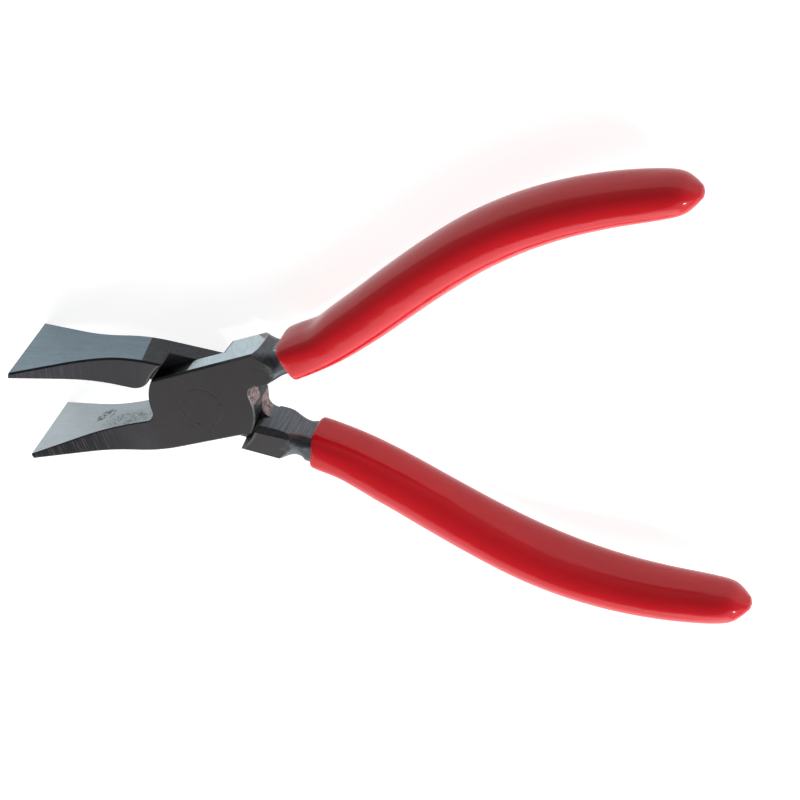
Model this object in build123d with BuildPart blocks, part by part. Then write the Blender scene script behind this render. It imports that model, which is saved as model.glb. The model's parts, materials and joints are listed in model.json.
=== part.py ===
from build123d import *
import os
from math import cos, radians, sin, tan

# Wide flat-nose pliers with a lap joint: two identical drop-forged halves, one of them turned
# over, a flush rivet, and a dipped plastic sleeve on each handle.
#
# All sizes are in millimetres. The row frame has its origin where the pivot axis meets the rear
# joint face, +Z along the pivot axis towards the front joint face, and +X towards the handles.
#
# The forging is drawn in its own frame: pivot at the origin, mid-plane of the joint at z = 0,
# jaw towards -x, handle towards +x, and the closing plane of the jaws at y = 0. Its plate lies
# above the mid-plane, and the recess for the other half's plate lies below.

# ---- joint ----
JOINT_THICKNESS = 10.3
PLATE_RADIUS = 13.35
PLATE_GAP = 0.04
RECESS_CLEARANCE = 0.5
PLATE_TOP = 10.15
PLATE_TOP_SLOPE = 2.5
TOP_TILT_FRONT = 3.0
TOP_TILT_REAR = 6.5
PLATE_BOTTOM = 9.65
PLATE_CROTCH = 2.4
CHEEK_ROUND = 5.0
OPEN_HALF_ANGLE = 13.64

# ---- rivet ----
RIVET_HEAD_RADIUS = 5.2
RIVET_SHANK_RADIUS = 3.6
RIVET_HEAD_DEPTH = 1.8
RIVET_EDGE_BREAK = 0.12
RIVET_RUNNING_CLEARANCE = 0.05

# ---- jaw ----
JAW_LENGTH = 46.4
JAW_TIP_WIDTH = 22.4
JAW_TIP_THICKNESS = 1.5
JAW_TIP_GAP = 0.06
JAW_FACE_SLOPE = 1.5
JAW_BACK_SLOPE = 15.8
JAW_BACK_RADIUS = 45.0
JAW_FLARE_ANGLE = 18.0
JAW_FLARE_RADIUS = 40.0
JAW_BACK_BREAK = 0.4
JAW_FACE_BREAK = 0.2
FACET_BREAK = 0.5

# ---- handle root and neck ----
ROOT_INNER = 2.4
ROOT_CROTCH = 2.6
ROOT_RELIEF = 1.3
NECK_START = 16.2
NECK_END = 23.0

# ---- sleeve ----
SLEEVE_START = 25.9
SLEEVE_TIP = 134.1
SLEEVE_WALL_EDGE = 1.3
SLEEVE_WALL_SIDE = 2.1
SLEEVE_CORNER = 0.9
UPPER_MOUTH_TILT = 4.0
LOWER_MOUTH_TILT = 11.0
TANG_CORNER = 0.6
TANG_END = 0.9

HALF_THICKNESS = JOINT_THICKNESS / 2
HALF_GAP = PLATE_GAP / 2
GRINDING_ALLOWANCE = 1.0
RECESS_RADIUS = PLATE_RADIUS + RECESS_CLEARANCE
INSIDE = 0.6 * PLATE_RADIUS
REACH = 2 * JAW_TIP_WIDTH

# Centre line of the sleeve, from its mouth to its tip.
SLEEVE_LINE = [
    (SLEEVE_START, 6.35),
    (47.5, 12.0),
    (69.3, 20.4),
    (91.0, 26.1),
    (107.0, 27.2),
    (123.3, 25.7),
    (SLEEVE_TIP, 23.9),
]
SLEEVE_LINE_ENDS = [(1, 0.07), (1, -0.19)]

# Sleeve sections: place along the centre line from 0 to 1, half width across the handle, and
# half depth along the pivot axis.
SLEEVE_SECTIONS = [
    (0.0, 4.7, 7.0),
    (0.08, 5.45, 7.1),
    (0.25, 5.9, 7.2),
    (0.45, 5.95, 7.7),
    (0.62, 5.8, 7.8),
    (0.78, 5.3, 7.2),
    (0.9, 4.8, 6.4),
    (0.955, 3.9, 5.1),
    (0.985, 2.4, 3.2),
    (1.0, 1.0, 1.3),
]

TANG_SECTIONS = [
    (place, half_width - SLEEVE_WALL_EDGE, half_depth - SLEEVE_WALL_SIDE)
    for place, half_width, half_depth in SLEEVE_SECTIONS
    if place <= TANG_END
]

# Neck sections: x, inner edge, outer edge, half depth, outer corner round, inner corner round.
# The first ones stand proud of the ground faces of the root, which cut them back.
NECK_SECTIONS = [
    (NECK_START, ROOT_INNER, 12.8, 6.4, 2.4, 0.3),
    (18.2, ROOT_INNER, 12.1, 6.2, 3.0, 0.9),
    (20.5, 2.6, 10.6, 5.7, 3.8, 1.6),
    (NECK_END, 3.0, 9.4, 5.0, 3.5, 2.2),
]


def raw_top(x):
    """Height of the raw plate and root at x, before the top facet is ground."""
    return PLATE_TOP + GRINDING_ALLOWANCE + x * tan(radians(PLATE_TOP_SLOPE))


def face_height(x):
    """Height of the jaw's working face at x. It meets its twin at the tip first."""
    return -JAW_TIP_GAP / 2 - (x + JAW_LENGTH) * tan(radians(JAW_FACE_SLOPE))


def bar_section(plane, half_width, half_depth, outer_round, inner_round):
    """A rounded section of the handle, with its local x axis towards the handle's outside."""
    with BuildSketch(plane) as section:
        Rectangle(2 * half_width, 2 * half_depth)
        fillet(section.vertices().sort_by(Axis.X)[2:], outer_round)
        fillet(section.vertices().sort_by(Axis.X)[:2], inner_round)
    return section.sketch


def lengthwise_edges(faces):
    """The edges of some jaw faces that run along the jaw, on its outer sides."""
    return [
        edge
        for edge in faces.edges().filter_by(Axis.Z, reverse=True)
        if abs(edge.center().Z) > HALF_THICKNESS / 2 and abs(edge.tangent_at(0.5).X) > 0.5
    ]


def handle_plane(place):
    """The plane across the sleeve's centre line at a place from 0 to 1."""
    along = sleeve_line.edge().tangent_at(place)
    outside = Vector(-along.Y, along.X, 0)
    return Plane(origin=sleeve_line.edge().position_at(place), x_dir=outside, z_dir=along)


def tang_section(place, half_width, half_depth):
    """A section of the bar inside the sleeve."""
    corner = TANG_CORNER * half_width
    return bar_section(handle_plane(place), half_width, half_depth, corner, corner)


with BuildLine() as sleeve_line:
    Spline(*SLEEVE_LINE, tangents=SLEEVE_LINE_ENDS)

# ---- the forging ----
with BuildPart() as forging:
    # Jaw: its side outline, cut to the flared plan.
    tip_face = face_height(-JAW_LENGTH)
    tip_back = tip_face - JAW_TIP_THICKNESS
    back_corner = -JAW_LENGTH + (PLATE_BOTTOM + tip_back) / tan(radians(JAW_BACK_SLOPE))
    with BuildSketch() as jaw_side:
        with BuildLine():
            Polyline(
                (-JAW_LENGTH, tip_back),
                (-JAW_LENGTH, tip_face),
                (-INSIDE, face_height(-INSIDE)),
                (-INSIDE, -PLATE_BOTTOM),
                (back_corner, -PLATE_BOTTOM),
                close=True,
            )
        make_face()
        corner = jaw_side.vertices().sort_by_distance((back_corner, -PLATE_BOTTOM))[0]
        fillet(corner, JAW_BACK_RADIUS)
    extrude(amount=REACH, both=True)

    tip_half = JAW_TIP_WIDTH / 2
    flare_corner = -JAW_LENGTH + (tip_half - HALF_THICKNESS) / tan(radians(JAW_FLARE_ANGLE))
    with BuildSketch(Plane.XZ) as jaw_plan:
        with BuildLine():
            Polyline(
                (-JAW_LENGTH, -tip_half),
                (flare_corner, -HALF_THICKNESS),
                (0, -HALF_THICKNESS),
                (0, HALF_THICKNESS),
                (flare_corner, HALF_THICKNESS),
                (-JAW_LENGTH, tip_half),
                close=True,
            )
        make_face()
        waist = jaw_plan.vertices().filter_by_position(
            Axis.X, flare_corner - 1, flare_corner + 1
        )
        fillet(waist, JAW_FLARE_RADIUS)
    extrude(amount=REACH, both=True, mode=Mode.INTERSECT)

    # Plate above the mid-plane, with rounded crotches to the jaw and to the handle.
    with BuildSketch(Plane.XY.offset(HALF_GAP)) as plate:
        Circle(PLATE_RADIUS)
        with BuildLine():
            Polyline(
                (-REACH, raw_top(-REACH)),
                (REACH, raw_top(REACH)),
                (REACH, -PLATE_BOTTOM),
                (-REACH, -PLATE_BOTTOM),
                close=True,
            )
        make_face(mode=Mode.INTERSECT)
        with BuildLine():
            Polyline(
                (back_corner, face_height(back_corner)),
                (-INSIDE, face_height(-INSIDE)),
                (-INSIDE, -INSIDE),
                (back_corner, -INSIDE),
                close=True,
            )
        make_face()
        with BuildLine():
            Polyline(
                (INSIDE, ROOT_INNER),
                (NECK_START, ROOT_INNER),
                (NECK_START, raw_top(NECK_START)),
                (INSIDE, raw_top(INSIDE)),
                close=True,
            )
        make_face()
        jaw_crotch = plate.vertices().sort_by_distance((-PLATE_RADIUS, face_height(-PLATE_RADIUS)))
        fillet(jaw_crotch[0], PLATE_CROTCH)
        root_crotch = plate.vertices().sort_by_distance((PLATE_RADIUS, ROOT_INNER))
        fillet(root_crotch[0], ROOT_CROTCH)
    extrude(amount=HALF_THICKNESS - HALF_GAP)

    # Handle root, full thickness.
    with BuildSketch(Plane.XY.offset(-HALF_THICKNESS)):
        with BuildLine():
            Polyline(
                (INSIDE, ROOT_INNER),
                (NECK_START, ROOT_INNER),
                (NECK_START, raw_top(NECK_START)),
                (INSIDE, raw_top(INSIDE)),
                close=True,
            )
        make_face()
    extrude(amount=JOINT_THICKNESS)

    # Recess below the mid-plane, with the jaw's corner rounded off.
    with BuildSketch(Plane.XY.offset(HALF_GAP)) as recess:
        Circle(RECESS_RADIUS)
        with BuildLine():
            Polyline(
                (flare_corner, face_height(flare_corner)),
                (0, face_height(0)),
                (0, INSIDE),
                (flare_corner, INSIDE),
                close=True,
            )
        make_face()
        cheek = recess.vertices().sort_by_distance((-RECESS_RADIUS, face_height(-RECESS_RADIUS)))
        fillet(cheek[0], CHEEK_ROUND)
    extrude(amount=-JOINT_THICKNESS, mode=Mode.SUBTRACT)

    # Broken edges along the jaw, and a relief under the root on the recessed side.
    backs = forging.faces().filter_by(lambda face: face.normal_at().Y < -0.8)
    chamfer(lengthwise_edges(backs), JAW_BACK_BREAK)
    working_face = forging.faces().filter_by(lambda face: face.normal_at().Y > 0.9).sort_by(Axis.X)[0]
    chamfer(lengthwise_edges(working_face), JAW_FACE_BREAK)

# Neck and tang: a rounded bar that runs from the root into the sleeve.
with BuildPart() as neck:
    for x, inner, outer, half_depth, outer_round, inner_round in NECK_SECTIONS:
        middle = Plane(origin=(x, (inner + outer) / 2, 0), x_dir=(0, 1, 0), z_dir=(1, 0, 0))
        add(bar_section(middle, (outer - inner) / 2, half_depth, outer_round, inner_round))
    add(tang_section(*TANG_SECTIONS[0]))
    loft()

with BuildPart() as tang:
    for place, half_width, half_depth in TANG_SECTIONS:
        add(tang_section(place, half_width, half_depth))
    loft()

with BuildPart() as half:
    add(neck.part)
    add(tang.part)

    # The side faces are ground flat.
    with BuildSketch(Plane.XY.offset(-HALF_THICKNESS)):
        with Locations((SLEEVE_TIP / 2, 0)):
            Rectangle(2 * SLEEVE_TIP, SLEEVE_TIP)
    extrude(amount=JOINT_THICKNESS, mode=Mode.INTERSECT)
    add(forging.part)
    with BuildSketch(Plane.YZ.offset(INSIDE)):
        with BuildLine():
            Polyline(
                (0, -JOINT_THICKNESS),
                (0, ROOT_RELIEF + ROOT_INNER - HALF_THICKNESS),
                (JOINT_THICKNESS / 2 + ROOT_RELIEF + ROOT_INNER, -JOINT_THICKNESS),
                close=True,
            )
        make_face()
    extrude(amount=NECK_END - INSIDE, mode=Mode.SUBTRACT)

# Sleeve, in the forging's frame, hollowed by the bar that it was dipped on.
with BuildPart() as sleeve:
    for place, half_width, half_depth in SLEEVE_SECTIONS:
        corner = SLEEVE_CORNER * half_width
        add(bar_section(handle_plane(place), half_width, half_depth, corner, corner))
    loft()
    add(half.part, mode=Mode.SUBTRACT)


def facet_tool(tilt):
    """Everything above the ground top facet, which is tilted about its near edge."""
    slope = radians(PLATE_TOP_SLOPE)
    lean = radians(tilt)
    facet = Plane(
        origin=(0, PLATE_TOP, HALF_THICKNESS),
        x_dir=(cos(slope), sin(slope), 0),
        z_dir=(-sin(slope) * cos(lean), cos(slope) * cos(lean), -sin(lean)),
    )
    with BuildPart() as tool:
        with BuildSketch(facet):
            Rectangle(2 * NECK_END, REACH)
        extrude(amount=REACH)
    return tool.part


def rivet_solid(clearance):
    """The rivet's outline turned about the pivot, grown by a clearance all round."""
    head = RIVET_HEAD_RADIUS + clearance
    shank = RIVET_SHANK_RADIUS + clearance
    shoulder = HALF_THICKNESS - RIVET_HEAD_DEPTH
    with BuildPart() as turned:
        with BuildSketch(Plane.XZ):
            with BuildLine():
                Polyline(
                    (0, -HALF_THICKNESS),
                    (head, -HALF_THICKNESS),
                    (shank, -shoulder),
                    (shank, shoulder),
                    (head, HALF_THICKNESS),
                    (0, HALF_THICKNESS),
                    close=True,
                )
            make_face()
        revolve(axis=Axis.Z)
    return turned.part


def mouth_tool(tilt):
    """Everything in front of the sleeve's mouth, which leans back towards its outer side."""
    lean = radians(tilt)
    mouth = Plane(
        origin=(SLEEVE_START, SLEEVE_LINE[0][1] - SLEEVE_SECTIONS[0][1], 0),
        x_dir=(0, 0, 1),
        z_dir=(-cos(lean), sin(lean), 0),
    )
    with BuildPart() as tool:
        with BuildSketch(mouth):
            Rectangle(REACH, REACH)
        extrude(amount=NECK_END)
    return tool.part


def finished_half(tilt, clearance):
    """A half with its top facet ground and its rivet hole bored."""
    with BuildPart() as finished:
        add(half.part)
        add(facet_tool(tilt), mode=Mode.SUBTRACT)
        near_side = finished.edges().filter_by_position(
            Axis.Z, HALF_THICKNESS - HALF_GAP, HALF_THICKNESS + HALF_GAP
        )
        above = near_side.filter_by_position(Axis.Y, INSIDE, REACH).filter_by(GeomType.LINE)
        chamfer(above.sort_by(SortBy.LENGTH)[-1], FACET_BREAK)
        add(rivet_solid(clearance), mode=Mode.SUBTRACT)
    return finished.part


# ---- placing: the two halves stand open about the pivot axis ----
turn_x = cos(radians(OPEN_HALF_ANGLE))
turn_y = sin(radians(OPEN_HALF_ANGLE))
pivot = (0, 0, HALF_THICKNESS)
front_plane = Plane(origin=pivot, x_dir=(turn_x, turn_y, 0), z_dir=(0, 0, 1))
rear_plane = Plane(origin=pivot, x_dir=(turn_x, -turn_y, 0), z_dir=(0, 0, -1))
joint_plane = Plane(origin=pivot)

with BuildPart(joint_plane) as pivot_rivet:
    add(rivet_solid(0))
    rims = pivot_rivet.edges().filter_by(GeomType.CIRCLE).group_by(SortBy.RADIUS)[-1]
    chamfer(rims, RIVET_EDGE_BREAK)

with BuildPart(front_plane) as front_half:
    add(finished_half(TOP_TILT_FRONT, 0))

with BuildPart(rear_plane) as rear_half:
    add(finished_half(TOP_TILT_REAR, RIVET_RUNNING_CLEARANCE))

with BuildPart(front_plane) as upper_sleeve:
    add(sleeve.part)
    add(mouth_tool(UPPER_MOUTH_TILT), mode=Mode.SUBTRACT)

with BuildPart(rear_plane) as lower_sleeve:
    add(sleeve.part)
    add(mouth_tool(LOWER_MOUTH_TILT), mode=Mode.SUBTRACT)

os.makedirs("parts", exist_ok=True)
front_half.part.label = "front_half"
export_step(front_half.part, "parts/front_half.step")
rear_half.part.label = "rear_half"
export_step(rear_half.part, "parts/rear_half.step")
pivot_rivet.part.label = "pivot_rivet"
export_step(pivot_rivet.part, "parts/pivot_rivet.step")
upper_sleeve.part.label = "upper_sleeve"
export_step(upper_sleeve.part, "parts/upper_sleeve.step")
lower_sleeve.part.label = "lower_sleeve"
export_step(lower_sleeve.part, "parts/lower_sleeve.step")
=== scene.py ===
"""Wide flat-nose pliers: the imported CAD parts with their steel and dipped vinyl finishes.

Run in Blender, the script lays out the pliers on a pale table under soft studio light. Each
group of pieces has its own operator, listed in the Pliers tab of the 3D view's sidebar.
"""

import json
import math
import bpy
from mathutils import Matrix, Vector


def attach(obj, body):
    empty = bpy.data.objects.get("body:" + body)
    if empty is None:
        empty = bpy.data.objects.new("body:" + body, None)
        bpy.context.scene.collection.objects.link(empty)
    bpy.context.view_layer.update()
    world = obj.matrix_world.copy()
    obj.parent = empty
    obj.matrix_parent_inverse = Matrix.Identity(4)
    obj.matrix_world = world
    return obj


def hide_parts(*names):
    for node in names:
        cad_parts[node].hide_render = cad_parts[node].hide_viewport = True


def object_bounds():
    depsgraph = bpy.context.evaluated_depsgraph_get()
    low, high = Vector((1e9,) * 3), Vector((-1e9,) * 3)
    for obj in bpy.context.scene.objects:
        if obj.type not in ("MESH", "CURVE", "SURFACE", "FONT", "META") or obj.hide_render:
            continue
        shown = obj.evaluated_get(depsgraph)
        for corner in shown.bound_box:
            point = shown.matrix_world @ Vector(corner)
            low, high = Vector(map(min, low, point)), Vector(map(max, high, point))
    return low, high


bl_info = {
    "name": "Wide Flat-Nose Pliers",
    "version": (1, 0, 0),
    "blender": (4, 5, 0),
    "location": "View3D > Sidebar > Pliers",
    "description": "Builds the finish of a pair of wide flat-nose pliers around its CAD parts",
    "category": "Object",
}

import bmesh
import bpy
from bpy.props import FloatProperty, FloatVectorProperty, IntProperty, PointerProperty
from mathutils import Matrix, Vector

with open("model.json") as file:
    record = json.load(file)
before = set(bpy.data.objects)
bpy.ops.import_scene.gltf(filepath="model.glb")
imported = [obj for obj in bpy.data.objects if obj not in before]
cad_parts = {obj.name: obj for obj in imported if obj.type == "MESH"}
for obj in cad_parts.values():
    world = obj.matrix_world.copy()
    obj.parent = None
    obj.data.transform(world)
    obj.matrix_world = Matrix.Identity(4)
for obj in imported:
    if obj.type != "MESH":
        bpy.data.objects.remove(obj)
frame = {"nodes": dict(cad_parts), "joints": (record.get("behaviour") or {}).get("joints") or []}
CAD_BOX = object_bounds()
PIVOT = Vector(frame["joints"][0]["pos_m"])

MM = 0.001
OPEN_ANGLE = math.radians(13.64)

# Sizes of the CAD halves that their finishes follow, in millimetres.
JOINT_SIDE = 5.15
RIVET_RADIUS = 5.2
PLATE_RADIUS = 13.35
RECESS_RADIUS = 13.85
CROTCH = (13.8, -0.3)

# Each half is drawn in its own frame: pivot at the origin, jaw towards -x, handle towards +x,
# and the other half below z = 0. The rear half is the same forging turned over.
FRONT_PLACE = Matrix.Translation(PIVOT) @ Matrix.Rotation(OPEN_ANGLE, 4, "Z")
REAR_PLACE = (
    Matrix.Translation(PIVOT)
    @ Matrix.Rotation(-OPEN_ANGLE, 4, "Z")
    @ Matrix.Rotation(math.pi, 4, "X")
)


# ---------------------------------------------------------------------------
# Settings
# ---------------------------------------------------------------------------


def colour_property(name, description, default):
    """A colour that the user can change."""
    return FloatVectorProperty(
        name=name, description=description, default=default, subtype="COLOR", min=0, max=1, size=3
    )


class SteelSettings(bpy.types.PropertyGroup):
    """Colours and surface of the two forged halves and the rivet."""

    side: colour_property(
        "Joint sides", "Satin ground sides of the lap joint", (0.074, 0.07, 0.072)
    )
    facet: colour_property("Top facet", "Bright sanded facet on the joint", (0.47, 0.575, 0.62))
    jaw_back: colour_property("Jaw backs", "Brushed outer faces of the jaws", (0.157, 0.215, 0.25))
    jaw_face: colour_property("Jaw faces", "Ground working faces", (0.35, 0.402, 0.425))
    jaw_side: colour_property("Jaw sides", "Cross-ground edges of the jaws", (0.067, 0.066, 0.073))
    root: colour_property(
        "Root", "Cross-ground inner face of the handle roots", (0.107, 0.12, 0.134)
    )
    scale: colour_property("Forging skin", "Blackened skin of the necks", (0.07, 0.075, 0.082))
    crotch: colour_property("Crotch", "Rough broached metal in the crotch", (0.3, 0.24, 0.235))
    edge_radius: FloatProperty(
        name="Edge rounding",
        description="How far the ground edges are broken",
        default=0.00022,
        min=0,
        unit="LENGTH",
    )


class SleeveSettings(bpy.types.PropertyGroup):
    """Shape and colour of the dipped sleeves."""

    colour: colour_property("Vinyl", "Colour of the dipped vinyl", (0.88, 0.015, 0.026))
    lip_radius: FloatProperty(
        name="Lip radius",
        description="Rounding of the sleeve's mouth",
        default=0.0008,
        min=0.0001,
        unit="LENGTH",
    )
    upper_lean: FloatProperty(
        name="Upper mouth lean",
        description="How far the upper sleeve's mouth leans back towards its outer side",
        default=0.0,
        subtype="ANGLE",
    )
    lower_lean: FloatProperty(
        name="Lower mouth lean",
        description="How far the lower sleeve's mouth leans back towards its outer side",
        default=math.radians(15),
        subtype="ANGLE",
    )
    mouth_bow: FloatProperty(
        name="Mouth bow",
        description="How far the mouth is set back on its flat sides",
        default=0.0006,
        min=0,
        unit="LENGTH",
    )
    lower_taper: FloatProperty(
        name="Lower mouth taper",
        description="How much the lower sleeve narrows at its mouth, on the outer side",
        default=0.0011,
        min=0,
        unit="LENGTH",
    )
    dip_depth: FloatProperty(
        name="Dip behind the rim",
        description="Depth of the hollow behind the mouth on the outer side",
        default=0.0005,
        min=0,
        unit="LENGTH",
    )
    rings: IntProperty(
        name="Rings", description="Cross-sections along a sleeve", default=190, min=24, max=600
    )
    corners: IntProperty(
        name="Corners", description="Points round a cross-section", default=72, min=16, max=256
    )


class StageSettings(bpy.types.PropertyGroup):
    """Table, lamps and camera."""

    floor: colour_property("Table", "Colour of the table top", (0.75, 0.75, 0.75))
    lens: FloatProperty(
        name="Lens", description="Focal length", default=107.83, min=10, unit="CAMERA"
    )


# ---------------------------------------------------------------------------
# Shader helpers
# ---------------------------------------------------------------------------


def feed(tree, socket, value):
    """Links a socket to another, or sets its constant."""
    if isinstance(value, bpy.types.NodeSocket):
        tree.links.new(value, socket)
    elif value is not None:
        socket.default_value = value


def maths(tree, operation, first, second=None, third=None):
    """The result of a Math node."""
    node = tree.nodes.new("ShaderNodeMath")
    node.operation = operation
    for socket, value in zip(node.inputs, (first, second, third)):
        feed(tree, socket, value)
    return node.outputs[0]


def ramp(tree, value, start, end):
    """0 below start and 1 above end, with a smooth rise; a start above end turns it round."""
    node = tree.nodes.new("ShaderNodeMapRange")
    node.interpolation_type = "SMOOTHSTEP"
    feed(tree, node.inputs["Value"], value)
    if start < end:
        limits = (start, end, 0.0, 1.0)
    else:
        limits = (end, start, 1.0, 0.0)
    for name, limit in zip(("From Min", "From Max", "To Min", "To Max"), limits):
        node.inputs[name].default_value = limit
    return node.outputs[0]


def spread(tree, value, low, high):
    """A value from 0 to 1 spread between low and high."""
    node = tree.nodes.new("ShaderNodeMapRange")
    feed(tree, node.inputs["Value"], value)
    feed(tree, node.inputs["To Min"], low)
    feed(tree, node.inputs["To Max"], high)
    return node.outputs[0]


def all_of(tree, *masks):
    """Where every mask holds."""
    product = masks[0]
    for mask in masks[1:]:
        product = maths(tree, "MULTIPLY", product, mask)
    return product


def distance(tree, across, up):
    """The length of the diagonal of two lengths."""
    squares = maths(tree, "MULTIPLY", across, across)
    return maths(tree, "SQRT", maths(tree, "MULTIPLY_ADD", up, up, squares))


# A Mix node's two inputs and its output, for each kind of data.
MIX_SOCKETS = {"FLOAT": (2, 3, 0), "VECTOR": (4, 5, 1), "RGBA": (6, 7, 2)}


def mix(tree, kind, mask, below, above, mode="MIX"):
    """One number, vector or colour laid over another through a mask."""
    node = tree.nodes.new("ShaderNodeMix")
    node.data_type = kind
    node.blend_type = mode
    first, second, result = MIX_SOCKETS[kind]
    feed(tree, node.inputs[0], mask)
    feed(tree, node.inputs[first], below)
    feed(tree, node.inputs[second], above)
    return node.outputs[result]


def blend(tree, mask, below, above):
    """A colour laid over another through a mask."""
    return mix(tree, "RGBA", mask, below, above)


def tinted(tree, colour, tint):
    """A colour multiplied by another."""
    return mix(tree, "RGBA", 1.0, colour, tint, "MULTIPLY")


def blend_value(tree, mask, below, above):
    """A number laid over another through a mask."""
    return mix(tree, "FLOAT", mask, below, above)


def grey(tree, value, low, high):
    """A value from 0 to 1 as a grey between two levels."""
    node = tree.nodes.new("ShaderNodeCombineColor")
    level = spread(tree, value, low, high)
    for socket in node.inputs:
        feed(tree, socket, level)
    return node.outputs[0]


def split_axes(tree, vector):
    """The x, y and z of a vector."""
    node = tree.nodes.new("ShaderNodeSeparateXYZ")
    feed(tree, node.inputs[0], vector)
    return node.outputs


def grain(tree, place, scale, detail=4.0, roughness=0.6, distortion=0.0):
    """A noise texture's value at a place."""
    node = tree.nodes.new("ShaderNodeTexNoise")
    feed(tree, node.inputs["Vector"], place)
    feed(tree, node.inputs["Scale"], scale)
    feed(tree, node.inputs["Detail"], detail)
    feed(tree, node.inputs["Roughness"], roughness)
    feed(tree, node.inputs["Distortion"], distortion)
    return node.outputs[0]


def stretched(tree, place, scale, turn=(0, 0, 0)):
    """A place turned and then scaled along each axis."""
    turned = tree.nodes.new("ShaderNodeMapping")
    feed(tree, turned.inputs["Vector"], place)
    turned.inputs["Rotation"].default_value = turn
    node = tree.nodes.new("ShaderNodeMapping")
    feed(tree, node.inputs["Vector"], turned.outputs[0])
    node.inputs["Scale"].default_value = scale
    return node.outputs[0]


def bump(tree, height, depth, normal=None):
    """A bumped normal. The height's range of one stands for the depth in metres."""
    node = tree.nodes.new("ShaderNodeBump")
    feed(tree, node.inputs["Height"], height)
    feed(tree, node.inputs["Distance"], depth)
    feed(tree, node.inputs["Normal"], normal)
    return node.outputs[0]


def rgba(colour, share=1.0):
    """A colour property as a shader colour, lighter or darker by a share."""
    return (*(min(1.0, channel * share) for channel in colour), 1.0)


def new_group(name, inputs, outputs):
    """An empty shader node group with its sockets. Returns the tree, its inputs and outputs."""
    tree = bpy.data.node_groups.new(name, "ShaderNodeTree")
    for label, kind, default in inputs:
        socket = tree.interface.new_socket(name=label, in_out="INPUT", socket_type=kind)
        if default is not None:
            socket.default_value = default
    for label, kind in outputs:
        tree.interface.new_socket(name=label, in_out="OUTPUT", socket_type=kind)
    entry = tree.nodes.new("NodeGroupInput")
    leave = tree.nodes.new("NodeGroupOutput")
    return tree, entry.outputs, leave.inputs


def place_group(tree, group, **values):
    """A node group placed in a tree. Underscores in the names stand for spaces."""
    node = tree.nodes.new("ShaderNodeGroup")
    node.node_tree = group
    for label, value in values.items():
        feed(tree, node.inputs[label.replace("_", " ")], value)
    return node.outputs


def new_material(name):
    """An empty node material. Returns it, its tree and its Principled shader."""
    material = bpy.data.materials.new(name)
    material.use_nodes = True
    tree = material.node_tree
    tree.nodes.clear()
    shader = tree.nodes.new("ShaderNodeBsdfPrincipled")
    out = tree.nodes.new("ShaderNodeOutputMaterial")
    tree.links.new(shader.outputs[0], out.inputs["Surface"])
    return material, tree, shader


def dress(piece, material):
    """Gives a piece one material."""
    piece.data.materials.clear()
    piece.data.materials.append(material)


# ---------------------------------------------------------------------------
# Shared surface effects
# ---------------------------------------------------------------------------

FLOAT = "NodeSocketFloat"
VECTOR = "NodeSocketVector"


def build_grinding():
    """Fine scratches left by a belt or wheel. They run along the place's own x axis."""
    tree, inputs, outputs = new_group(
        "Grinding Lines",
        [
            ("Place", VECTOR, None),
            ("Pitch", FLOAT, 0.25),
            ("Run", FLOAT, 6.0),
            ("Broad", FLOAT, 0.35),
        ],
        [("Height", FLOAT), ("Shade", FLOAT)],
    )
    along = maths(tree, "DIVIDE", 1.0, inputs["Run"])
    across = maths(tree, "DIVIDE", 1.0, inputs["Pitch"])
    scale = tree.nodes.new("ShaderNodeCombineXYZ")
    for socket, value in zip(scale.inputs, (along, across, across)):
        feed(tree, socket, value)
    squeezed = tree.nodes.new("ShaderNodeVectorMath")
    squeezed.operation = "MULTIPLY"
    feed(tree, squeezed.inputs[0], inputs["Place"])
    feed(tree, squeezed.inputs[1], scale.outputs[0])
    fine = grain(tree, squeezed.outputs[0], 1.0, 5.0, 0.72)
    broad = grain(tree, squeezed.outputs[0], 0.21, 3.0, 0.6)
    mixed = blend_value(tree, inputs["Broad"], fine, broad)
    feed(tree, outputs["Height"], mixed)
    feed(tree, outputs["Shade"], ramp(tree, mixed, 0.36, 0.64))
    return tree


def build_forge_skin():
    """The mottled, slightly pitted skin that forging and heat leave."""
    tree, inputs, outputs = new_group(
        "Forge Skin",
        [("Place", VECTOR, None), ("Size", FLOAT, 1.0)],
        [("Height", FLOAT), ("Shade", FLOAT)],
    )
    scale = maths(tree, "DIVIDE", 1.0, inputs["Size"])
    cloud = grain(tree, inputs["Place"], scale, 4.0, 0.55, 0.3)
    pits = tree.nodes.new("ShaderNodeTexVoronoi")
    feed(tree, pits.inputs["Vector"], inputs["Place"])
    feed(tree, pits.inputs["Scale"], maths(tree, "MULTIPLY", scale, 2.7))
    pit = ramp(tree, pits.outputs["Distance"], 0.05, 0.45)
    feed(tree, outputs["Height"], blend_value(tree, 0.3, cloud, pit))
    feed(tree, outputs["Shade"], ramp(tree, cloud, 0.35, 0.65))
    return tree


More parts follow.
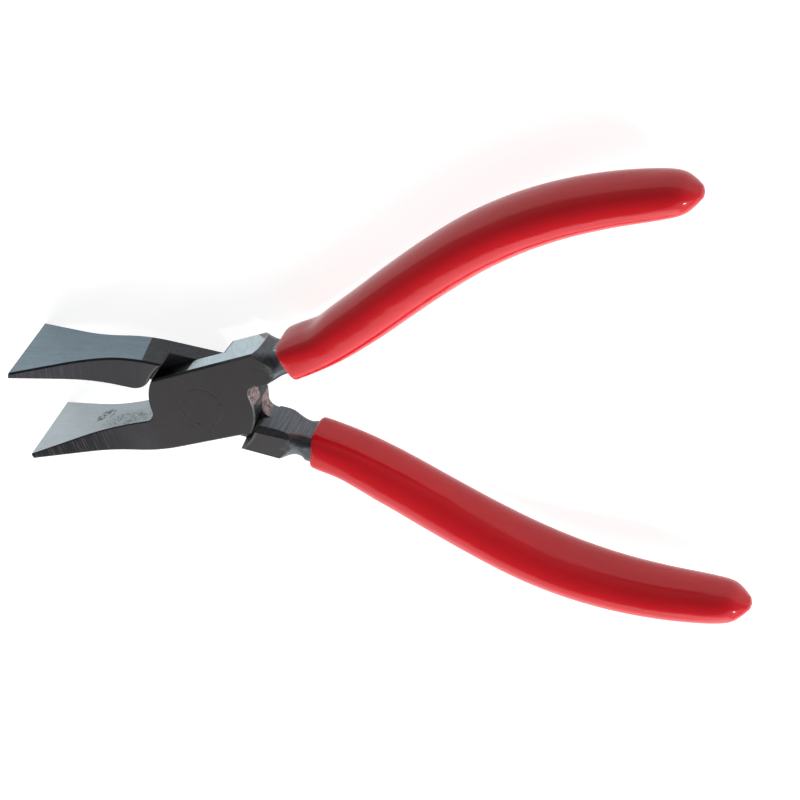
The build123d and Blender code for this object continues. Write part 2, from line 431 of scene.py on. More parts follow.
def build_face_marks():
    """Scores and a mottled patch that work has left on a jaw face, from a place in its frame."""
    tree, inputs, outputs = new_group(
        "Face Marks", [("Place", VECTOR, None)], [("Scores", FLOAT), ("Mottle", FLOAT)]
    )

    def patch(centre, turn, size, start, end):
        """1 inside an oval patch with a ragged rim."""
        node = tree.nodes.new("ShaderNodeMapping")
        node.vector_type = "TEXTURE"
        feed(tree, node.inputs["Vector"], inputs["Place"])
        node.inputs["Location"].default_value = centre
        node.inputs["Rotation"].default_value = (0, turn, 0)
        node.inputs["Scale"].default_value = size
        length = tree.nodes.new("ShaderNodeVectorMath")
        length.operation = "LENGTH"
        feed(tree, length.inputs[0], node.outputs[0])
        ragged = maths(tree, "ADD", length.outputs["Value"], grain(tree, inputs["Place"], 1.1))
        return ramp(tree, ragged, end + 0.5, start + 0.5)

    slant = math.radians(51)
    scored = patch((-30, 0, -1), slant, (2.9, 40, 2.1), 0.75, 1.1)
    stroked = stretched(tree, inputs["Place"], (0.34, 1, 1.7), (0, -slant, 0))
    strokes = grain(tree, stroked, 1.0, 2.0)
    broken = ramp(tree, grain(tree, inputs["Place"], 1.6, 2.0, 0.6), 0.42, 0.52)
    feed(tree, outputs["Scores"], all_of(tree, scored, broken, ramp(tree, strokes, 0.49, 0.54)))
    mottled = patch((-22.5, 0, 2.6), 0, (6.5, 40, 3.4), 0.7, 1.2)
    dots = grain(tree, inputs["Place"], 1.8, 3.0, 0.7)
    feed(tree, outputs["Mottle"], all_of(tree, mottled, ramp(tree, dots, 0.47, 0.6)))
    return tree


def build_rivet_groove():
    """The fine groove round the rivet, filled flush except along an arc and in short breaks. Where
    it is filled, the materials paint their colour lighter: painted light that hides the groove's
    shade.
    """
    tree, inputs, outputs = new_group(
        "Rivet Groove",
        [("Place", VECTOR, None), ("Normal", VECTOR, None), ("Outward", FLOAT, 1.0)],
        [("Filled And Painted Light", FLOAT), ("Normal", VECTOR)],
    )
    x, y, _ = split_axes(tree, inputs["Place"])
    radius = distance(tree, x, y)
    groove = all_of(
        tree,
        ramp(tree, radius, RIVET_RADIUS - 0.3, RIVET_RADIUS - 0.2),
        ramp(tree, radius, RIVET_RADIUS + 0.25, RIVET_RADIUS + 0.15),
    )
    lower = ramp(tree, maths(tree, "MULTIPLY_ADD", x, -0.25, y), 0.6, -0.6)
    packed = ramp(tree, grain(tree, inputs["Place"], 0.55, 2.0, 0.5), 0.6, 0.54)
    filled = all_of(tree, groove, lower, packed)
    axis = tree.nodes.new("ShaderNodeCombineXYZ")
    feed(tree, axis.inputs[2], inputs["Outward"])
    flat = tree.nodes.new("ShaderNodeVectorTransform")
    flat.vector_type, flat.convert_from, flat.convert_to = "NORMAL", "OBJECT", "WORLD"
    feed(tree, flat.inputs[0], axis.outputs[0])
    normal = mix(tree, "VECTOR", filled, inputs["Normal"], flat.outputs[0])
    feed(tree, outputs["Filled And Painted Light"], filled)
    feed(tree, outputs["Normal"], normal)
    return tree


def build_edge_wear():
    """Where an edge is rubbed, and the normal that rounds it."""
    tree, inputs, outputs = new_group(
        "Rubbed Edges",
        [("Radius", FLOAT, 0.0002), ("Breakup", FLOAT, 0.5)],
        [("Mask", FLOAT), ("Normal", VECTOR)],
    )
    rounded = tree.nodes.new("ShaderNodeBevel")
    rounded.samples = 6
    feed(tree, rounded.inputs["Radius"], inputs["Radius"])
    true_normal = tree.nodes.new("ShaderNodeNewGeometry")
    facing = tree.nodes.new("ShaderNodeVectorMath")
    facing.operation = "DOT_PRODUCT"
    feed(tree, facing.inputs[0], rounded.outputs[0])
    feed(tree, facing.inputs[1], true_normal.outputs["Normal"])
    turned = ramp(tree, facing.outputs["Value"], 0.985, 0.86)
    broken = ramp(tree, inputs["Breakup"], 0.35, 0.6)
    feed(tree, outputs["Mask"], all_of(tree, turned, broken))
    feed(tree, outputs["Normal"], rounded.outputs[0])
    return tree


def build_half_regions():
    """Masks for one half's finishes, from a place in millimetres and a normal in its frame."""
    tree, inputs, outputs = new_group(
        "Half Regions",
        [("Place", VECTOR, None), ("Facing", VECTOR, None)],
        [
            ("Side", FLOAT),
            ("Facet", FLOAT),
            ("Worn Corner", FLOAT),
            ("Jaw Back", FLOAT),
            ("Jaw Face", FLOAT),
            ("Jaw Side", FLOAT),
            ("Crotch", FLOAT),
            ("Root Inner", FLOAT),
            ("Recess Wall", FLOAT),
            ("Recess Floor", FLOAT),
            ("Plate Rim Painted Shade", FLOAT),
        ],
    )
    x, y, z = split_axes(tree, inputs["Place"])
    _, facing_y, facing_z = split_axes(tree, inputs["Facing"])
    sideways = maths(tree, "ABSOLUTE", facing_z)
    from_middle = maths(tree, "ABSOLUTE", z)
    wall = ramp(tree, sideways, 0.75, 0.55)
    radius = distance(tree, x, y)

    def put(name, *masks):
        feed(tree, outputs[name], all_of(tree, *masks))

    # The ground side of the joint runs out raggedly in the neck.
    ragged = maths(tree, "MULTIPLY_ADD", grain(tree, inputs["Place"], 0.55, 4.0, 0.7), 7.0, x)
    put(
        "Side",
        ramp(tree, sideways, 0.975, 0.995),
        ramp(tree, from_middle, JOINT_SIDE - 0.25, JOINT_SIDE - 0.05),
        ramp(tree, x, -16.5, -15.0),
        ramp(tree, ragged, 26.5, 23.5),
    )

    # The top facet is rubbed through at the corner by the neck.
    up = ramp(tree, facing_y, 0.95, 0.985)
    # The facet's bright finish stops sharply at x = 1 mm, and the top nearer the jaw keeps the
    # dark skin colour: painted shade that stands in for the rear half's shadow on the facet.
    top = all_of(tree, up, ramp(tree, y, 7.0, 8.0), ramp(tree, x, 0.85, 1.1))
    corner = ramp(tree, maths(tree, "MULTIPLY_ADD", z, -0.9, x), 21.3, 21.9)
    put("Facet", top, maths(tree, "SUBTRACT", 1.0, corner))
    put("Worn Corner", top, corner)

    # The jaw has a working face, a back with a slanting end and two sides.
    put("Jaw Face", up, ramp(tree, x, -10.0, -11.5), ramp(tree, y, 2.0, 1.0))
    slanted = maths(tree, "MULTIPLY_ADD", z, 0.12, x)
    put("Jaw Back", ramp(tree, facing_y, -0.8, -0.9), ramp(tree, slanted, -15.45, -15.7))
    put("Jaw Side", ramp(tree, sideways, 0.8, 0.88), ramp(tree, x, -13.0, -17.0))

    # The crotch is rough, and the root behind it is ground across.
    from_crotch = distance(
        tree, maths(tree, "SUBTRACT", x, CROTCH[0]), maths(tree, "SUBTRACT", y, CROTCH[1])
    )
    put("Crotch", wall, ramp(tree, from_crotch, 2.9, 2.1))
    past_root = maths(tree, "MAXIMUM", maths(tree, "SUBTRACT", x, 17.0), 0.0)
    narrowing = maths(tree, "MULTIPLY_ADD", past_root, 0.35, from_middle)
    put(
        "Root Inner",
        ramp(tree, facing_y, -0.86, -0.94),
        ramp(tree, x, 14.2, 15.6),
        ramp(tree, x, 26.5, 25.0),
        ramp(tree, y, 5.0, 4.0),
        ramp(tree, narrowing, 5.3, 4.7),
    )

    # The recess holds the other half's plate. Its wall is painted darker: painted shade that keeps
    # the step's edge from catching light.
    behind = ramp(tree, z, 0.3, 0.1)
    put(
        "Recess Wall",
        ramp(tree, radius, RECESS_RADIUS - 0.25, RECESS_RADIUS - 0.15),
        ramp(tree, radius, RECESS_RADIUS + 0.35, RECESS_RADIUS + 0.15),
        behind,
        wall,
    )
    # The recess floor is painted lighter: painted light that lifts the shade between the two
    # halves.
    put(
        "Recess Floor",
        behind,
        ramp(tree, facing_z, -0.9, -0.97),
        ramp(tree, radius, RECESS_RADIUS + 0.75, RECESS_RADIUS + 0.35),
    )
    # The plate's rim walls on the handle side are painted near black: painted shadow below the
    # crotch and under the other half's plate.
    put(
        "Plate Rim Painted Shade",
        ramp(tree, radius, PLATE_RADIUS - 0.35, PLATE_RADIUS - 0.15),
        ramp(tree, radius, PLATE_RADIUS + 0.75, PLATE_RADIUS + 0.55),
        wall,
        ramp(tree, x, 5.0, 7.0),
        ramp(tree, y, -0.6, -2.0),
    )
    return tree


# ---------------------------------------------------------------------------
# Steel
# ---------------------------------------------------------------------------

# Depth in metres that a relief height of one stands for.
RELIEF_DEPTH = 0.00008


def half_coordinates(tree, rear):
    """Place in millimetres and facing, both in the frame of the front or the rear half."""
    source = tree.nodes.new("ShaderNodeTexCoord")
    turn = (math.pi, 0, -OPEN_ANGLE) if rear else (0, 0, -OPEN_ANGLE)
    place = tree.nodes.new("ShaderNodeMapping")
    place.inputs["Rotation"].default_value = turn
    place.inputs["Scale"].default_value = (1 / MM,) * 3
    height = PIVOT.z / MM
    place.inputs["Location"].default_value = (0, 0, height if rear else -height)
    feed(tree, place.inputs["Vector"], source.outputs["Object"])
    facing = tree.nodes.new("ShaderNodeMapping")
    facing.vector_type = "VECTOR"
    facing.inputs["Rotation"].default_value = turn
    feed(tree, facing.inputs["Vector"], source.outputs["Normal"])
    return place.outputs[0], facing.outputs[0]


def satin_lines(tree, groups, place):
    """The short, fine scratches of the joint's satin sides."""
    turned = stretched(tree, place, (1, 1, 1), (0, 0, math.radians(-14)))
    return place_group(tree, groups["grinding"], Place=turned, Pitch=0.09, Run=0.35)


def clouded(tree, place, colour):
    """A colour with the faint, broad clouds of handled steel."""
    return tinted(tree, colour, grey(tree, grain(tree, place, 0.22, 3.0, 0.6), 0.9, 1.08))


def forged_steel(settings, groups, name, rear):
    """The steel of one half, with a finish for each of its ground and forged faces."""
    material, tree, shader = new_material(name)
    place, facing = half_coordinates(tree, rear)
    region = place_group(tree, groups["regions"], Place=place, Facing=facing)
    along = split_axes(tree, place)[0]

    def lines(pitch, run, turn, broad=0.35):
        """Scratches of a pitch and a run in millimetres, turned by degrees about each axis."""
        turned = stretched(tree, place, (1, 1, 1), [math.radians(angle) for angle in turn])
        return place_group(
            tree, groups["grinding"], Place=turned, Pitch=pitch, Run=run, Broad=broad
        )

    def shaded(field, colour, low, high):
        """A colour that a field varies between two shares of it."""
        return blend(tree, field["Shade"], rgba(colour, low), rgba(colour, high))

    skin = place_group(tree, groups["skin"], Place=place, Size=0.9)
    rough_skin = place_group(tree, groups["skin"], Place=place, Size=1.0)
    satin = satin_lines(tree, groups, place)
    lengthwise = lines(0.09, 2.6, (0, 0, 12))
    crosswise = lines(0.24 if rear else 0.6, 14.0, (0, 0, 93.5), 0.05)
    across_root = lines(0.3, 9.0, (0, 90, 0), 0.1)
    diagonal = lines(0.2, 6.0, (0, 66, 0), 0.2)
    speckle = grain(tree, place, 7.0, 3.0, 0.7)
    marks = place_group(tree, groups["marks"], Place=place)

    # Forging skin, darker round the joint than on the neck.
    colour = shaded(skin, settings.scale, 0.85, 1.15)
    colour = tinted(tree, colour, grey(tree, ramp(tree, along, 6.0, 14.0), 0.62, 1.4))

    # Cross-ground jaw sides, with coarser streaks towards the tip.
    dark, light = (0.82, 1.3) if rear else (0.68, 1.75)
    streaks = blend(
        tree,
        ramp(tree, crosswise["Height"], 0.5, 0.62),
        rgba(settings.jaw_side, dark),
        rgba(settings.jaw_side, light),
    )
    coarse = spread(tree, ramp(tree, along, -22.0, -38.0), 0.12, 1.0)
    jaw_side = blend(tree, coarse, rgba(settings.jaw_side), streaks)

    # Ground working face, with the marks of work.
    jaw_face = shaded(lengthwise, settings.jaw_face, 0.9, 1.08)
    mottle = maths(tree, "MULTIPLY", marks["Mottle"], 0.8)
    jaw_face = blend(tree, mottle, jaw_face, rgba(settings.jaw_face, 0.3))
    if not rear:
        scores = maths(tree, "MULTIPLY", marks["Scores"], 0.95)
        jaw_face = blend(tree, scores, jaw_face, rgba(settings.jaw_face, 0.2))

    side = [channel * (1.0 if rear else 0.8) for channel in settings.side]
    for area, finish in (
        ("Side", shaded(satin, side, 0.93, 1.07)),
        ("Jaw Side", jaw_side),
        ("Root Inner", shaded(across_root, settings.root, 0.7, 1.3)),
        ("Jaw Back", shaded(lengthwise, settings.jaw_back, 0.84, 1.16)),
        ("Jaw Face", jaw_face),
        ("Facet", shaded(diagonal, settings.facet, 0.88, 1.12)),
        ("Worn Corner", shaded(skin, settings.crotch, 0.45, 1.5)),
        # Painted shadow: the plate's rim walls nearly black.
        ("Plate Rim Painted Shade", rgba(settings.scale, 0.35)),
        ("Crotch", shaded(rough_skin, settings.crotch, 0.5, 1.25)),
        # Painted shade: the recess wall darker than the forging skin.
        ("Recess Wall", rgba(settings.scale, 0.6)),
        # Painted light: the recess floor twice as light as the joint sides.
        ("Recess Floor", rgba(settings.side, 2.0)),
    ):
        colour = blend(tree, region[area], colour, finish)
    colour = clouded(tree, place, colour)
    wear = place_group(tree, groups["edges"], Radius=settings.edge_radius, Breakup=speckle)
    rubbed = maths(tree, "MULTIPLY", wear["Mask"], 0.2)
    colour = blend(tree, rubbed, colour, rgba(settings.facet, 0.8))

    roughness = spread(tree, skin["Shade"], 0.3, 0.42)
    for area, low, high in (
        ("Side", 0.4, 0.5),
        ("Jaw Side", 0.42, 0.55),
        ("Root Inner", 0.36, 0.46),
        ("Jaw Back", 0.36, 0.5),
        ("Jaw Face", 0.38, 0.48),
        ("Facet", 0.34, 0.44),
        ("Crotch", 0.45, 0.6),
        ("Recess Wall", 0.55, 0.6),
        ("Recess Floor", 0.55, 0.6),
    ):
        roughness = blend_value(tree, region[area], roughness, spread(tree, speckle, low, high))
    feed(tree, shader.inputs["Roughness"], roughness)
    shader.inputs["Metallic"].default_value = 1.0

    height = skin["Height"]
    for area, field, depth in (
        ("Side", satin, 0.09),
        ("Jaw Side", crosswise, 0.5),
        ("Root Inner", across_root, 0.4),
        ("Jaw Back", lengthwise, 0.2),
        ("Jaw Face", lengthwise, 0.12),
        ("Facet", diagonal, 0.12),
        ("Crotch", rough_skin, 3.0),
    ):
        relief = maths(tree, "MULTIPLY", field["Height"], depth)
        height = blend_value(tree, region[area], height, relief)
    if not rear:
        dents = maths(tree, "MULTIPLY_ADD", marks["Mottle"], 0.5, marks["Scores"])
        dents = all_of(tree, dents, region["Jaw Face"])
        height = maths(tree, "SUBTRACT", height, maths(tree, "MULTIPLY", dents, 0.9))
    groove = place_group(
        tree,
        groups["groove"],
        Place=place,
        Normal=bump(tree, height, RELIEF_DEPTH, wear["Normal"]),
        Outward=-1.0 if rear else 1.0,
    )
    feed(tree, shader.inputs["Normal"], groove["Normal"])
    # Painted light: where the groove is filled, the joint side is painted lighter to hide the
    # groove's shade.
    colour = blend(tree, groove["Filled And Painted Light"], colour, rgba(side, 1.15))
    feed(tree, shader.inputs["Base Color"], colour)
    return material


def rivet_steel(settings, groups):
    """The rivet, ground together with the joint's sides, with a fine line round its head."""
    material, tree, shader = new_material("Rivet Steel")
    place, _ = half_coordinates(tree, rear=False)
    x, y, z = split_axes(tree, place)
    satin = satin_lines(tree, groups, place)
    groove = place_group(
        tree,
        groups["groove"],
        Place=place,
        Normal=bump(tree, satin["Height"], 0.09 * RELIEF_DEPTH),
        Outward=maths(tree, "SIGN", z),
    )
    feed(tree, shader.inputs["Normal"], groove["Normal"])
    rim = ramp(tree, distance(tree, x, y), RIVET_RADIUS - 0.18, RIVET_RADIUS - 0.1)
    line = all_of(tree, rim, maths(tree, "SUBTRACT", 1.0, groove["Filled And Painted Light"]))
    colour = blend(tree, satin["Shade"], rgba(settings.side, 0.74), rgba(settings.side, 0.86))
    # Painted light: where the groove is filled, the rivet is painted lighter to hide the groove's
    # shade.
    colour = blend(tree, groove["Filled And Painted Light"], colour, rgba(settings.side, 0.92))
    colour = blend(tree, line, colour, rgba(settings.scale, 0.5))
    feed(tree, shader.inputs["Base Color"], clouded(tree, place, colour))
    speckle = grain(tree, place, 7.0, 3.0, 0.7)
    feed(tree, shader.inputs["Roughness"], spread(tree, speckle, 0.4, 0.5))
    shader.inputs["Metallic"].default_value = 1.0
    return material


# ---------------------------------------------------------------------------
# Sleeves
# ---------------------------------------------------------------------------

# Centre line of a sleeve in the frame of its half, in millimetres, from the mouth to the tip.
SLEEVE_LINE = [
    (25.9, 6.35),
    (36.7, 8.4),
    (47.5, 12.0),
    (58.4, 16.3),
    (69.3, 20.4),
    (80.15, 23.85),
    (91.0, 26.1),
    (101.8, 27.1),
    (112.6, 26.9),
    (123.3, 25.7),
    (134.1, 23.9),
]

# Share of the way along the sleeve, half width, half depth, and how square the section is.
SLEEVE_SECTIONS = [
    (0.0, 4.9, 7.15, 3.4),
    (0.03, 5.15, 7.25, 3.0),
    (0.08, 5.4, 7.25, 2.6),
    (0.16, 5.8, 7.25, 2.3),
    (0.27, 6.1, 7.4, 2.2),
    (0.4, 6.15, 7.8, 2.15),
    (0.52, 6.08, 8.1, 2.15),
    (0.62, 5.9, 8.1, 2.15),
    (0.72, 5.68, 7.8, 2.15),
    (0.82, 5.38, 7.35, 2.15),
    (0.89, 5.1, 6.85, 2.15),
    (0.93, 4.8, 6.4, 2.1),
    (0.953, 4.4, 5.85, 2.1),
    (0.968, 3.75, 5.05, 2.1),
    (0.982, 2.7, 3.65, 2.05),
    (0.992, 1.75, 2.3, 2.0),
    (0.997, 1.15, 1.4, 2.0),
    (1.0, 0.0, 0.0, 2.0),
]

# Distances from a sleeve's mouth, in millimetres: how far its lean, its taper and the hollow
# behind its rim reach, and where that hollow is deepest.
LEAN_REACH = 14.0
TAPER_REACH = 20.0
HOLLOW_REACH = 4.5
HOLLOW_PLACE = 9.0

# The inner skin behind the lip, in millimetres: distance from the mouth, and inset.
INNER_SKIN = [(3.0, 1.25), (1.6, 1.2)]

# Rings round the lip, and how much the rings crowd together towards the tip.
LIP_STEPS = 8
TIP_CROWDING = 1.6

# How much of a taper the section's depth and the mouth's bow give up.
DEPTH_SHARE = 0.8
BOW_SHARE = 0.4

# Half of the step along the centre line over which its direction is taken.
DIRECTION_STEP = 0.002

# The thinnest half width that an inset leaves, in millimetres.
THINNEST = 0.05


def smooth_table(rows, at):
    """Reads a table of rows at a place in its first column, along smooth curves."""
    last = len(rows) - 2
    i = 0
    while i < last and at > rows[i + 1][0]:
        i += 1
    start, end = rows[i], rows[i + 1]
    span = end[0] - start[0]
    before = rows[i - 1] if i else start
    after = rows[i + 2] if i < last else end
    t = min(1.0, max(0.0, (at - start[0]) / span))
    values = []
    for column in range(1, len(start)):
        rise = (end[column] - before[column]) / (end[0] - before[0]) * span
        fall = (after[column] - start[column]) / (after[0] - start[0]) * span
        values.append(
            (2 * t**3 - 3 * t**2 + 1) * start[column]
            + (t**3 - 2 * t**2 + t) * rise
            + (3 * t**2 - 2 * t**3) * end[column]
            + (t**3 - t**2) * fall
        )
    return values


def sleeve_stations(settings, total):
    """Share of the way along and inset of each ring: out along the inner skin, round the lip
    and on to the tip."""
    lip = settings.lip_radius / MM
    stations = [(depth / total, inset) for depth, inset in INNER_SKIN]
    for k in range(LIP_STEPS + 1):
        angle = math.pi * k / LIP_STEPS
        stations.append((lip * (1 - math.sin(angle)) / total, lip * (1 + math.cos(angle))))
    for k in range(1, settings.rings):
        way = 1 - (1 - k / settings.rings) ** TIP_CROWDING
        stations.append((lip / total + (1 - lip / total) * way, 0.0))
    return stations


def sleeve_ring(bm, centre, outward, half_width, half_depth, square, corners):
    """One cross-section of vertices, starting on the handle's outer side."""
    ring = []
    for k in range(corners):
        angle = 2 * math.pi * k / corners
        c, s = math.cos(angle), math.sin(angle)
        across = math.copysign(abs(c) ** (2 / square), c) * half_width
        through = math.copysign(abs(s) ** (2 / square), s) * half_depth
        point = centre + outward * across + Vector((0, 0, through))
        ring.append(bm.verts.new(point * MM))
    return ring


def sleeve_mesh(settings, name, lean, taper):
    """A dipped sleeve, with a rounded mouth turned in round the neck."""
    bm = bmesh.new()
    lengths = [0.0]
    for start, end in zip(SLEEVE_LINE, SLEEVE_LINE[1:]):
        lengths.append(lengths[-1] + math.dist(start, end))
    total = lengths[-1]
    line = [(length / total, *point) for length, point in zip(lengths, SLEEVE_LINE)]
    stations = sleeve_stations(settings, total)
    taper = taper / MM

    rings = []
    for share, inset in stations:
        x, y = smooth_table(line, share)
        ahead = Vector(smooth_table(line, min(1, share + DIRECTION_STEP)))
        behind = Vector(smooth_table(line, max(0, share - DIRECTION_STEP)))
        along = (ahead - behind).normalized().to_3d()
        outward = Vector((-along.y, along.x, 0))
        half_width, half_depth, square = smooth_table(SLEEVE_SECTIONS, share)
        reach = share * total
        narrowed = taper * max(0.0, 1 - reach / TAPER_REACH)
        half_depth -= DEPTH_SHARE * narrowed
        ring = sleeve_ring(
            bm,
            Vector((x, y, 0)),
            outward,
            max(THINNEST, half_width - inset),
            max(THINNEST, half_depth - inset),
            square,
            settings.corners,
        )
        # A hollow behind the rim on the outer side, and a mouth that leans back and is bowed.
        dip = math.exp(-(((reach - HOLLOW_PLACE) / HOLLOW_REACH) ** 2))
        hollow = narrowed + settings.dip_depth / MM * dip
        ease = max(0.0, 1 - reach / LEAN_REACH) ** 2
        slide = math.tan(lean) * ease * half_width
        bow = (settings.mouth_bow / MM - BOW_SHARE * taper) * ease
        for k, vertex in enumerate(ring):
            turn = math.cos(2 * math.pi * k / settings.corners)
            vertex.co -= outward * hollow * max(0.0, turn) ** 1.5 * MM
            vertex.co += along * (slide * (turn + 1) + bow * (1 - turn**2)) * MM
        rings.append(ring)

    for first, second in zip(rings, rings[1:]):
        for k in range(len(first)):
            j = (k + 1) % len(first)
            bm.faces.new((first[k], first[j], second[j], second[k]))
    # The tip is closed, and so is the inner skin, where the neck hides it.
    inside = smooth_table(line, stations[0][0])
    for ring, centre in ((rings[-1], SLEEVE_LINE[-1]), (rings[0], inside)):
        middle = bm.verts.new(Vector((*centre, 0)) * MM)
        for k in range(len(ring)):
            bm.faces.new((ring[k], ring[(k + 1) % len(ring)], middle))
    bmesh.ops.recalc_face_normals(bm, faces=bm.faces)
    for face in bm.faces:
        face.smooth = True
    mesh = bpy.data.meshes.new(name)
    bm.to_mesh(mesh)
    bm.free()
    return mesh


def dipped_vinyl(settings):
    """Glossy soft vinyl, with the faint unevenness of a dipped coat."""
    material, tree, shader = new_material("Dipped Vinyl")
    source = tree.nodes.new("ShaderNodeTexCoord")
    place = stretched(tree, source.outputs["Object"], (1 / MM,) * 3)
    flow = grain(tree, stretched(tree, place, (0.09, 0.2, 0.2)), 1.0, 2.0, 0.5)
    peel = grain(tree, place, 1.1, 2.0, 0.5)
    speck = grain(tree, place, 5.5, 2.0, 0.6)
    colour = blend(tree, flow, rgba(settings.colour, 0.93), rgba(settings.colour, 1.07))
    dust = ramp(tree, speck, 0.74, 0.78)
    colour = blend(tree, maths(tree, "MULTIPLY", dust, 0.25), colour, (0.7, 0.25, 0.24, 1))
    feed(tree, shader.inputs["Base Color"], colour)
    feed(tree, shader.inputs["Roughness"], spread(tree, peel, 0.13, 0.19))
    shader.inputs["Specular IOR Level"].default_value = 0.4
    shader.inputs["IOR"].default_value = 1.45
    waves = maths(tree, "MULTIPLY_ADD", peel, 0.06, flow)
    feed(tree, shader.inputs["Normal"], bump(tree, waves, 0.00012))
    return material


# ---------------------------------------------------------------------------
# Stage
# ---------------------------------------------------------------------------

# The camera's place in metres, and which way its right and its top point.
CAMERA_PLACE = (0.23073, 0.29836, 0.4306)
CAMERA_RIGHT = (0.94299, -0.16856, -0.28697)
CAMERA_UP = (-0.02523, 0.82357, -0.56665)

# Each lamp's place and size in metres, and its power in watts. All face the same point.
LAMP_TARGET = (0.04, 0, 0)
LAMPS = (
    ("Key Softbox", (0.61, -0.77, 0.68), (1.6, 1.2), 6),
    ("Low Front Panel", (-0.35, -1.1, 0.56), (2.2, 1.25), 13.5),
    ("Small Lamp", (0.97, -0.42, 0.55), (0.05, 0.05), 2.5),
)


def seen_directly(tree):
    """1 for camera, mirror and glass rays, and 0 for the light that surfaces scatter."""
    rays = tree.nodes.new("ShaderNodeLightPath").outputs
    seen = maths(tree, "MAXIMUM", rays["Is Camera Ray"], rays["Is Glossy Ray"])
    return maths(tree, "MAXIMUM", seen, rays["Is Transmission Ray"])


def table_material(settings):
    """A pale table that looks white to the camera and keeps the object's shadow."""
    material, tree, shader = new_material("Pale Table")
    shader.inputs["Base Color"].default_value = rgba(settings.floor)
    shader.inputs["Roughness"].default_value = 0.9
    shader.inputs["Specular IOR Level"].default_value = 0.0
    shader.inputs["Emission Color"].default_value = (1, 1, 1, 1)
    glow = maths(tree, "MULTIPLY", seen_directly(tree), 0.8)
    feed(tree, shader.inputs["Emission Strength"], glow)
    return material


def table_top(settings):
    """A large flat table under the object."""
    bm = bmesh.new()
    bmesh.ops.create_grid(bm, x_segments=8, y_segments=8, size=4.0)
    mesh = bpy.data.meshes.new("Table")
    bm.to_mesh(mesh)
    bm.free()
    table = bpy.data.objects.new("table_top", mesh)
    table.location.z = CAD_BOX[0].z
    dress(table, table_material(settings))
    return table


def studio_world():
    """A soft dome, brightest at the horizon, behind which the camera sees white."""
    world = bpy.data.worlds.new("Studio")
    world.use_nodes = True
    tree = world.node_tree
    tree.nodes.clear()
    background = tree.nodes.new("ShaderNodeBackground")
    out = tree.nodes.new("ShaderNodeOutputWorld")
    tree.links.new(background.outputs[0], out.inputs["Surface"])
    source = tree.nodes.new("ShaderNodeTexCoord")
    height = split_axes(tree, source.outputs["Generated"])[2]
    dome = spread(tree, ramp(tree, height, 0.0, 0.7), 0.56, 0.2)
    camera_ray = tree.nodes.new("ShaderNodeLightPath").outputs["Is Camera Ray"]
    feed(tree, background.inputs["Strength"], blend_value(tree, camera_ray, dome, 1.0))
    return world


def soft_lamp(name, place, size, power):
    """A soft rectangular lamp that faces the object."""
    lamp = bpy.data.lights.new(name, "AREA")
    lamp.shape = "RECTANGLE"
    lamp.size, lamp.size_y = size
    lamp.energy = power
    light = bpy.data.objects.new(name, lamp)
    light.location = place
    aim = Vector(LAMP_TARGET) - Vector(place)
    light.rotation_euler = aim.to_track_quat("-Z", "Y").to_euler()
    return light


def studio_camera(settings):
    """The camera, turned to its own right and up directions."""
    lens = bpy.data.cameras.new("Camera")
    lens.lens = settings.lens
    lens.sensor_width = 36
    lens.clip_start = 0.01
    camera = bpy.data.objects.new("Camera", lens)
    right, up = Vector(CAMERA_RIGHT), Vector(CAMERA_UP)
    turn = Matrix((right, up, right.cross(up))).transposed().to_4x4()
    camera.matrix_world = Matrix.Translation(CAMERA_PLACE) @ turn
    return camera


# ---------------------------------------------------------------------------
# Operators
# ---------------------------------------------------------------------------


def shared_groups():
    """The shared node groups, built once."""
    makers = {
        "grinding": ("Grinding Lines", build_grinding),
        "skin": ("Forge Skin", build_forge_skin),
        "marks": ("Face Marks", build_face_marks),
        "groove": ("Rivet Groove", build_rivet_groove),
        "edges": ("Rubbed Edges", build_edge_wear),
        "regions": ("Half Regions", build_half_regions),
    }
    return {
        key: bpy.data.node_groups.get(name) or build() for key, (name, build) in makers.items()
    }


class PLIERS_OT_steel_halves(bpy.types.Operator):
    """Give the two forged halves their ground, brushed and blackened steel"""

    bl_idname = "pliers.steel_halves"
    bl_label = "Steel Halves"

    def execute(self, context):
        settings = context.scene.pliers_steel
        groups = shared_groups()
        for node, name, rear in (
            ("front_half", "Front Half Steel", False),
            ("rear_half", "Rear Half Steel", True),
        ):
            dress(frame["nodes"][node], forged_steel(settings, groups, name, rear))
        return {"FINISHED"}


class PLIERS_OT_rivet(bpy.types.Operator):
    """Give the rivet the steel of the joint's ground sides"""

    bl_idname = "pliers.rivet"
    bl_label = "Rivet"

    def execute(self, context):
        dress(
            frame["nodes"]["pivot_rivet"],
            rivet_steel(context.scene.pliers_steel, shared_groups()),
        )
        return {"FINISHED"}


class PLIERS_OT_sleeves(bpy.types.Operator):
    """Build the two dipped vinyl sleeves"""

    bl_idname = "pliers.sleeves"
    bl_label = "Dipped Sleeves"

    def execute(self, context):
        settings = context.scene.pliers_sleeve
        vinyl = dipped_vinyl(settings)
        upper = (settings.upper_lean, 0.0)
        lower = (settings.lower_lean, settings.lower_taper)
        for name, body, node, place, mouth in (
            ("upper_dipped_sleeve", "front", "upper_sleeve", FRONT_PLACE, upper),
            ("lower_dipped_sleeve", "rear", "lower_sleeve", REAR_PLACE, lower),
        ):
            mesh = sleeve_mesh(settings, name, *mouth)
            mesh.transform(place)
            piece = bpy.data.objects.new(name, mesh)
            dress(piece, vinyl)
            context.scene.collection.objects.link(piece)
            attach(piece, body)
            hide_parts(node)
        return {"FINISHED"}


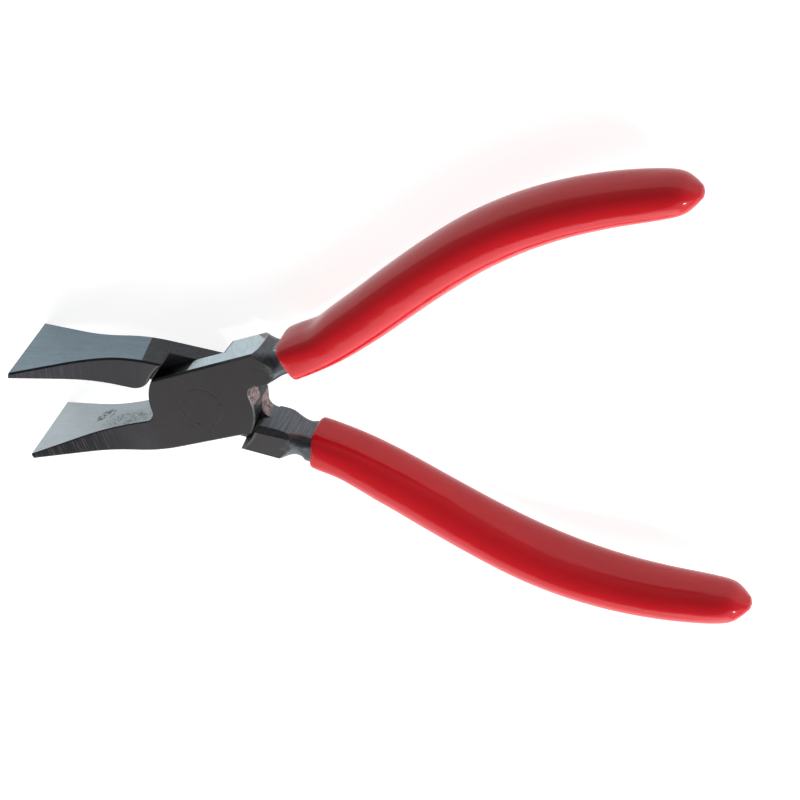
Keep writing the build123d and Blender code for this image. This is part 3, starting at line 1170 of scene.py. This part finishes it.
class PLIERS_OT_stage(bpy.types.Operator):
    """Lay out the table, the soft lamps and the camera"""

    bl_idname = "pliers.stage"
    bl_label = "Stage"

    def execute(self, context):
        scene = context.scene
        table = table_top(scene.pliers_stage)
        scene.collection.objects.link(table)
        for lamp in LAMPS:
            scene.collection.objects.link(soft_lamp(*lamp))
        scene.world = studio_world()
        scene.camera = studio_camera(scene.pliers_stage)
        scene.collection.objects.link(scene.camera)
        scene.view_settings.view_transform = "Standard"
        return {"FINISHED"}


class PLIERS_PT_panel(bpy.types.Panel):
    """The sidebar panel with the settings and the build steps"""

    bl_idname = "PLIERS_PT_panel"
    bl_label = "Pliers"
    bl_space_type = "VIEW_3D"
    bl_region_type = "UI"
    bl_category = "Pliers"

    def draw(self, context):
        layout = self.layout
        for settings, operators in (
            (context.scene.pliers_steel, ("pliers.steel_halves", "pliers.rivet")),
            (context.scene.pliers_sleeve, ("pliers.sleeves",)),
            (context.scene.pliers_stage, ("pliers.stage",)),
        ):
            box = layout.box()
            for name in settings.__annotations__:
                box.prop(settings, name)
            for operator in operators:
                box.operator(operator)


CLASSES = (
    SteelSettings,
    SleeveSettings,
    StageSettings,
    PLIERS_OT_steel_halves,
    PLIERS_OT_rivet,
    PLIERS_OT_sleeves,
    PLIERS_OT_stage,
    PLIERS_PT_panel,
)


def register():
    for cls in CLASSES:
        bpy.utils.register_class(cls)
    bpy.types.Scene.pliers_steel = PointerProperty(type=SteelSettings)
    bpy.types.Scene.pliers_sleeve = PointerProperty(type=SleeveSettings)
    bpy.types.Scene.pliers_stage = PointerProperty(type=StageSettings)


def unregister():
    del bpy.types.Scene.pliers_stage
    del bpy.types.Scene.pliers_sleeve
    del bpy.types.Scene.pliers_steel
    for cls in reversed(CLASSES):
        bpy.utils.unregister_class(cls)


def main():
    """Builds every piece in order."""
    register()
    bpy.ops.pliers.steel_halves()
    bpy.ops.pliers.rivet()
    bpy.ops.pliers.sleeves()
    bpy.ops.pliers.stage()
    bpy.context.view_layer.update()


if __name__ == "__main__":
    main()
